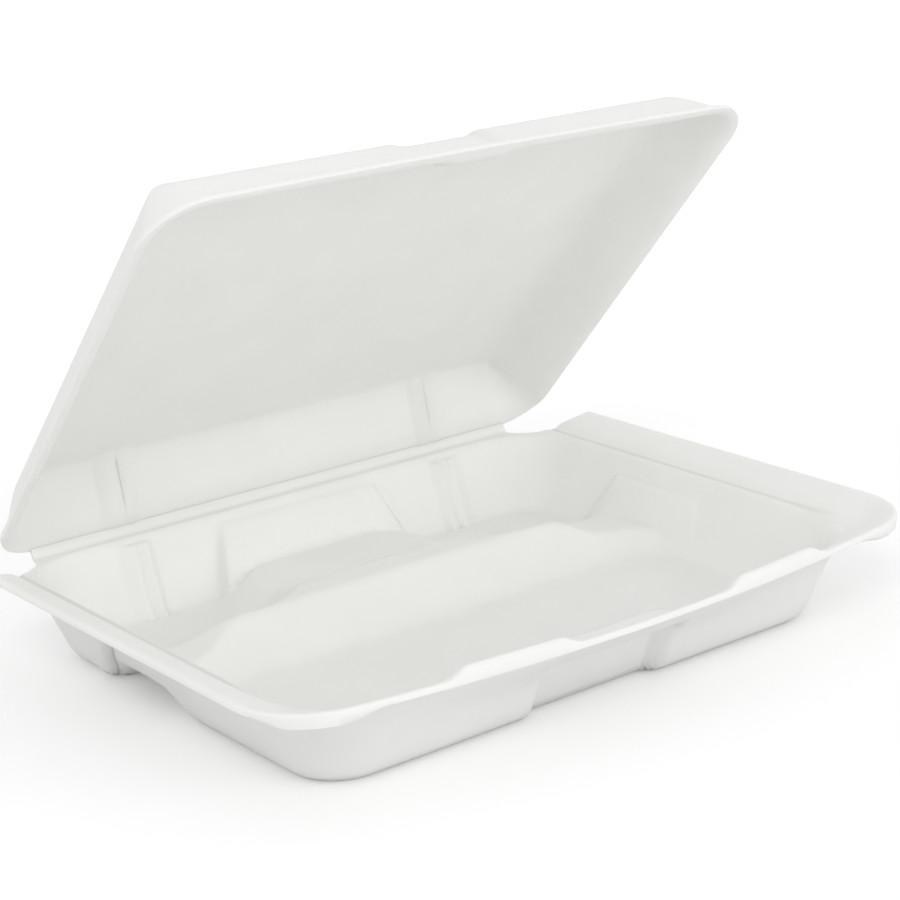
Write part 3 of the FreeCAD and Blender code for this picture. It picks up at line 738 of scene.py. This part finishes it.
def foam_grain_group():
    """Shader group: fine cells as a height, and the colour with faint clouds and a line of painted shade
    where the side walls turn into the flanges.
    """
    name = "Foam grain"
    if name in bpy.data.node_groups:
        return bpy.data.node_groups[name]
    tree = bpy.data.node_groups.new(name, "ShaderNodeTree")
    face = tree.interface
    face.new_socket("Grain size", in_out="INPUT", socket_type="NodeSocketFloat")
    face.new_socket("Colour", in_out="INPUT", socket_type="NodeSocketColor")
    face.new_socket("Colour", in_out="OUTPUT", socket_type="NodeSocketColor")
    face.new_socket("Height", in_out="OUTPUT", socket_type="NodeSocketFloat")
    nodes, link = tree.nodes, tree.links.new
    source, result = nodes.new("NodeGroupInput"), nodes.new("NodeGroupOutput")
    place = nodes.new("ShaderNodeTexCoord")
    cells = nodes.new("ShaderNodeTexNoise")
    cells.inputs["Detail"].default_value = 2.0
    link(place.outputs["Object"], cells.inputs["Vector"])
    link(maths(tree, "DIVIDE", 1.0, source.outputs["Grain size"]), cells.inputs["Scale"])
    cloud = nodes.new("ShaderNodeTexNoise")
    cloud.inputs["Scale"].default_value = CLOUD_SCALE
    cloud.inputs["Detail"].default_value = 3.0
    link(place.outputs["Object"], cloud.inputs["Vector"])
    shade = mapped(tree, cloud.outputs["Fac"], CLOUD_SPAN, CLOUD_DARKEST, 1.0, "LINEAR")

    # painted shade: the colour is darker along the crease where the side walls turn into the flanges,
    # standing in for the shade that falls in that crease
    apart = nodes.new("ShaderNodeSeparateXYZ")
    link(place.outputs["Object"], apart.inputs[0])
    across = maths(tree, "ABSOLUTE", apart.outputs["X"], 0.0)
    beside = maths(tree, "ABSOLUTE", maths(tree, "SUBTRACT", across, PAINTED_CREASE_X), 0.0)
    line = mapped(tree, beside, (0.0, PAINTED_CREASE_REACH), 1.0, 0.0)
    along = mapped(tree, apart.outputs["Y"], (PAINTED_CREASE_FRONT_Y, PAINTED_CREASE_FULL_Y), 0.0, 1.0)
    low = mapped(tree, apart.outputs["Z"], (PAINTED_CREASE_TOP_Z, PAINTED_CREASE_TOP_Z + PAINTED_CREASE_TOP_EASE), 1.0, 0.0)
    line = maths(tree, "MULTIPLY", maths(tree, "MULTIPLY", line, along), low)
    tone = maths(tree, "SUBTRACT", 1.0, maths(tree, "MULTIPLY", line, PAINTED_CREASE_SHADE))
    mix = nodes.new("ShaderNodeMix")
    mix.data_type = "RGBA"
    mix.blend_type = "MULTIPLY"
    mix.inputs["Factor"].default_value = 1.0
    link(source.outputs["Colour"], mix.inputs["A"])
    link(maths(tree, "MULTIPLY", shade, tone), mix.inputs["B"])
    link(mix.outputs["Result"], result.inputs["Colour"])
    link(cells.outputs["Fac"], result.inputs["Height"])
    return tree


def foam_material(foam):
    name = "White foam sheet"
    if name in bpy.data.materials:
        return bpy.data.materials[name]
    material = bpy.data.materials.new(name)
    material.use_nodes = True
    nodes, link = material.node_tree.nodes, material.node_tree.links.new
    shader = nodes["Principled BSDF"]
    shader.inputs["Roughness"].default_value = foam.roughness
    shader.inputs["Specular IOR Level"].default_value = SPECULAR
    shader.inputs["Subsurface Weight"].default_value = foam.scatter
    shader.inputs["Subsurface Radius"].default_value = (1.0, 1.0, 1.0)
    shader.inputs["Subsurface Scale"].default_value = foam.scatter_reach
    grain = nodes.new("ShaderNodeGroup")
    grain.node_tree = foam_grain_group()
    grain.inputs["Grain size"].default_value = foam.grain_size
    grain.inputs["Colour"].default_value = foam.colour
    bump = nodes.new("ShaderNodeBump")
    bump.inputs["Distance"].default_value = foam.grain_height
    bump.inputs["Strength"].default_value = BUMP_STRENGTH
    link(grain.outputs["Height"], bump.inputs["Height"])
    link(grain.outputs["Colour"], shader.inputs["Base Color"])
    link(bump.outputs["Normal"], shader.inputs["Normal"])
    return material


class CLAMSHELL_OT_tray(bpy.types.Operator):
    """Make the moulded tray with its compartments, flanges and locks"""
    bl_idname = "clamshell.make_tray"
    bl_label = "Tray"

    def execute(self, context):
        shape, foam = context.scene.clamshell_tray, context.scene.clamshell_foam
        across, along = TRAY_GRID
        crease_half = FLANGE_HALF - FLANGE_LEAN * EDGE_RISE
        front_crease = FRONT_Y - FRONT_LEAN * (CREASE_Z - shape.floor / MM)
        back_crease = BACK_Y + BACK_LEAN * (CREASE_Z - shape.floor / MM)
        loops = [side_loop(sides, across, along) for sides in (
            tray_outline_sides(),
            rounded_sides(crease_half, front_crease, back_crease, *CREASE_LOOP_R, RIM_BOW),
            rounded_sides(FLOOR_HALF, FRONT_Y, BACK_Y, *FOOT_LOOP_R),
            rounded_sides(FLOOR_HALF - FLOOR_LOOP_IN, FRONT_Y + FLOOR_LOOP_IN, BACK_Y - FLOOR_LOOP_IN,
                          *FLOOR_LOOP_R),
        )]
        steps = (EDGE_STEPS + FLANGE_STEPS, shares(TRAY_WALL_RINGS), shares(TRAY_FLOOR_RINGS))
        plan, faces, count = patch(loops, steps, across, along)
        x, y = plan.T

        def height(px, py):
            return tray_height(px, py, shape)

        points = np.stack([x, y, height(x, y)], 1)
        under = -unit_normals(height, x, y, TRAY_NORMAL_STEP)
        # near the cut outline the lower face lies straight below the upper one
        ring = np.arange(len(plan)) // count
        last = len(EDGE_STEPS)
        edge_share = np.clip(1.0 - (ring - last) / EDGE_EASE_RINGS, 0.0, 1.0)[:, None]
        straight = np.array([0.0, 0.0, -1.0]) * np.sqrt(1.0 + 1.0 / FLANGE_LEAN ** 2)
        under = under * (1.0 - edge_share) + straight * edge_share
        sheet = shape.sheet / MM
        outline = loops[0]
        corner = np.degrees(np.arctan2(-(outline[:, 1] - RIM_FRONT_Y - RIM_CORNER_R),
                                       np.abs(outline[:, 0]) - FLANGE_HALF + RIM_CORNER_R))
        drop = shape.skirt / MM * ramp(corner, *SKIRT_SIDE_SPAN) * ramp(-corner, *SKIRT_FRONT_SPAN)
        drop = np.where(outline[:, 1] < RIM_FRONT_Y + 2 * RIM_CORNER_R, drop, 0.0)
        rounded_edge(points, under, count, sheet, drop)
        # the rim's lower edge runs on level under the crests
        under[:, 2] -= lock_height(x, y, shape) / sheet * edge_share[:, 0]
        points[:, 1] += HINGE.y / MM
        piece = sheet_object("tray_skin", points, under, faces, foam_material(foam), foam, shape)
        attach(piece, "tray")
        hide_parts("tray")
        return {"FINISHED"}


class CLAMSHELL_OT_lid(bpy.types.Operator):
    """Make the moulded lid in the pose that it stands open in"""
    bl_idname = "clamshell.make_lid"
    bl_label = "Lid"

    def execute(self, context):
        shape, foam = context.scene.clamshell_lid, context.scene.clamshell_foam
        across, along = LID_GRID
        foot_in = LID_RIM - LID_FOOT_OUT
        foot_r = (LID_FRONT_R - LID_FOOT_LESS_R, LID_BACK_R - LID_FOOT_LESS_R)
        top_half, top_back = LID_HALF - LID_TOP_IN, -LID_BACK_FOOT - LID_TOP_BACK_IN
        top_front = LID_TOP_IN + LID_TOP_FRONT_IN - LID_LENGTH
        loops = [side_loop(sides, across, along) for sides in (
            rounded_sides(LID_HALF, -LID_LENGTH, LIP_BACK, LID_FRONT_R, LID_BACK_R, LID_BOW),
            rounded_sides(LID_HALF - foot_in, foot_in - LID_LENGTH, -LID_FOOT_BACK, *foot_r),
            rounded_sides(top_half, top_front, top_back, LID_TOP_R, LID_TOP_R),
            rounded_sides(top_half - LID_MIDDLE_IN, top_front + LID_MIDDLE_IN, top_back - LID_MIDDLE_IN,
                          LID_MIDDLE_R, LID_MIDDLE_R),
        )]
        steps = (LID_RIM_STEPS, shares(LID_WALL_RINGS), shares(LID_TOP_RINGS))
        plan, faces, count = patch(loops, steps, across, along)
        x, y = plan.T

        def height(px, py):
            return lid_height(px, -py, shape)

        points = np.stack([x, y, height(x, y)], 1)
        under = -unit_normals(height, x, y, LID_NORMAL_STEP)
        ring = np.arange(len(plan)) // count
        edge_share = np.where(ring < len(EDGE_STEPS), 1.0, 0.0)[:, None]
        under = under * (1.0 - edge_share) + np.array([0.0, 0.0, -1.0]) * edge_share
        rounded_edge(points, under, count, shape.sheet / MM, np.zeros(count))
        points[:, 2] += LID_GAP
        spin = np.array(Matrix.Rotation(math.radians(-LID_OPEN), 3, "X"))
        points, under = points @ spin.T, under @ spin.T
        points += np.array(HINGE) / MM
        piece = sheet_object("lid_skin", points, under, faces, foam_material(foam), foam, shape)
        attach(piece, "lid")
        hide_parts("lid")
        return {"FINISHED"}


class CLAMSHELL_OT_web(bpy.types.Operator):
    """Make the pressed web that joins the tray and the lid"""
    bl_idname = "clamshell.make_web"
    bl_label = "Hinge web"

    def execute(self, context):
        foam = context.scene.clamshell_foam
        half = context.scene.clamshell_lid.web / MM / 2
        spin = np.array(Matrix.Rotation(math.radians(-LID_OPEN), 2))
        lip = spin @ (WEB_LIP[0], WEB_LIP[1] + LID_GAP)
        near_lip = lip * WEB_NEAR_LIP_SHARE + (WEB_NEAR_LIP_BACK, 0.0)
        path = np.array([*WEB_PATH, near_lip, lip])
        run = np.gradient(path, axis=0)
        side = np.stack([-run[:, 1], run[:, 0]], 1) / np.hypot(*run.T)[:, None] * half
        section = np.vstack([path + side, (path - side)[::-1]])
        xs = np.linspace(-HINGE_HALF, HINGE_HALF, WEB_COLUMNS + 1)
        points = np.array([(x, y + HINGE.y / MM, z + HINGE.z / MM) for x in xs for y, z in section])
        ring = len(section)
        faces = []
        for column in range(WEB_COLUMNS):
            for k in range(ring):
                a, b = column * ring + k, column * ring + (k + 1) % ring
                faces.append((a, a + ring, b + ring, b))
        faces.append(tuple(range(ring)))
        faces.append(tuple(reversed(range(WEB_COLUMNS * ring, (WEB_COLUMNS + 1) * ring))))
        mesh = bpy.data.meshes.new("hinge_web_skin")
        mesh.from_pydata((points * MM).tolist(), [], faces)
        mesh.shade_smooth()
        mesh.set_sharp_from_angle(angle=SHARP_ANGLE)
        mesh.materials.append(foam_material(foam))
        piece = bpy.data.objects.new("hinge_web_skin", mesh)
        context.scene.collection.objects.link(piece)
        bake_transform(piece)
        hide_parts("hinge_web")
        return {"FINISHED"}


def floor_material():
    """Matt surface that looks lighter than it lights the object, more so far from the middle."""
    material = bpy.data.materials.new("White floor")
    material.use_nodes = True
    tree = material.node_tree
    nodes, link = tree.nodes, tree.links.new
    nodes.remove(nodes["Principled BSDF"])
    matt = nodes.new("ShaderNodeBsdfDiffuse")
    matt.inputs["Color"].default_value = FLOOR_COLOUR
    light = nodes.new("ShaderNodeEmission")
    path = nodes.new("ShaderNodeLightPath")
    place = nodes.new("ShaderNodeTexCoord")
    reach = nodes.new("ShaderNodeVectorMath")
    reach.operation = "LENGTH"
    link(place.outputs["Object"], reach.inputs[0])
    glow = mapped(tree, reach.outputs["Value"], FLOOR_GLOW_SPAN, FLOOR_GLOW, FLOOR_FAR_GLOW)
    link(maths(tree, "MULTIPLY", path.outputs["Is Camera Ray"], glow), light.inputs["Strength"])
    both = nodes.new("ShaderNodeAddShader")
    link(matt.outputs[0], both.inputs[0])
    link(light.outputs[0], both.inputs[1])
    link(both.outputs[0], nodes["Material Output"].inputs["Surface"])
    return material


def area_lamp(name, place, size, power):
    lamp = bpy.data.lights.new(name, "AREA")
    lamp.shape = "DISK"
    lamp.size = size
    lamp.energy = power
    piece = bpy.data.objects.new(name, lamp)
    piece.location = place
    piece.rotation_euler = (Vector(LAMP_TARGET) - Vector(place)).to_track_quat("-Z", "Y").to_euler()
    bpy.context.scene.collection.objects.link(piece)


class CLAMSHELL_OT_stage(bpy.types.Operator):
    """Set the floor, the light and the camera"""
    bl_idname = "clamshell.make_stage"
    bl_label = "Stage"

    def execute(self, context):
        scene, stage = context.scene, context.scene.clamshell_stage
        mesh = bpy.data.meshes.new("floor")
        corners = [(x * FLOOR_REACH, y * FLOOR_REACH, 0) for x, y in ((-1, -1), (1, -1), (1, 1), (-1, 1))]
        mesh.from_pydata(corners, [], [(0, 1, 2, 3)])
        mesh.materials.append(floor_material())
        floor = bpy.data.objects.new("floor", mesh)
        scene.collection.objects.link(floor)

        world = bpy.data.worlds.new("Even white light")
        scene.world = world
        world.use_nodes = True
        tree = world.node_tree
        background = tree.nodes["Background"]
        path = tree.nodes.new("ShaderNodeLightPath")
        seen = maths(tree, "MAXIMUM", path.outputs["Is Camera Ray"], path.outputs["Is Glossy Ray"])
        level = mapped(tree, seen, (0.0, 1.0), stage.sky, 1.0, "LINEAR")
        tree.links.new(level, background.inputs["Strength"])
        background.inputs["Color"].default_value = (1.0, 1.0, 1.0, 1.0)

        area_lamp("key_lamp", KEY_PLACE, KEY_SIZE, stage.key)
        area_lamp("fill_lamp", FILL_PLACE, FILL_SIZE, stage.fill)

        a, e, roll = stage.azimuth, stage.elevation, stage.roll
        back = Vector((math.sin(a) * math.cos(e), -math.cos(a) * math.cos(e), math.sin(e)))
        right = (-back).cross(Vector((0, 0, 1))).normalized()
        up = right.cross(-back)
        turned_right = right * math.cos(roll) + up * math.sin(roll)
        turned_up = up * math.cos(roll) - right * math.sin(roll)
        data = bpy.data.cameras.new("camera")
        data.lens = stage.lens
        data.sensor_width = SENSOR
        data.clip_end = CLIP_END
        camera = bpy.data.objects.new("camera", data)
        scene.collection.objects.link(camera)
        turn = Matrix((turned_right, turned_up, back)).transposed().to_4x4()
        camera.matrix_world = Matrix.Translation(stage.place) @ turn
        scene.camera = camera
        scene.view_settings.view_transform = "Standard"
        return {"FINISHED"}


OPERATORS = (CLAMSHELL_OT_tray, CLAMSHELL_OT_lid, CLAMSHELL_OT_web, CLAMSHELL_OT_stage)


class CLAMSHELL_PT_panel(bpy.types.Panel):
    """Steps that make the container"""
    bl_idname = "CLAMSHELL_PT_panel"
    bl_label = "Foam clamshell container"
    bl_space_type = "VIEW_3D"
    bl_region_type = "UI"
    bl_category = "Clamshell"

    def draw(self, context):
        for operator in OPERATORS:
            self.layout.operator(operator.bl_idname)


SETTINGS = {"clamshell_foam": FoamSettings, "clamshell_tray": TrayShape, "clamshell_lid": LidShape,
            "clamshell_stage": StageSettings}


def register():
    for name, group in SETTINGS.items():
        bpy.utils.register_class(group)
        setattr(bpy.types.Scene, name, PointerProperty(type=group))
    for item in OPERATORS + (CLAMSHELL_PT_panel,):
        bpy.utils.register_class(item)


def unregister():
    for item in reversed(OPERATORS + (CLAMSHELL_PT_panel,)):
        bpy.utils.unregister_class(item)
    for name, group in reversed(SETTINGS.items()):
        delattr(bpy.types.Scene, name)
        bpy.utils.unregister_class(group)


def main():
    register()
    bpy.ops.clamshell.make_tray()
    bpy.ops.clamshell.make_lid()
    bpy.ops.clamshell.make_web()
    bpy.ops.clamshell.make_stage()


if __name__ == "__main__":
    main()
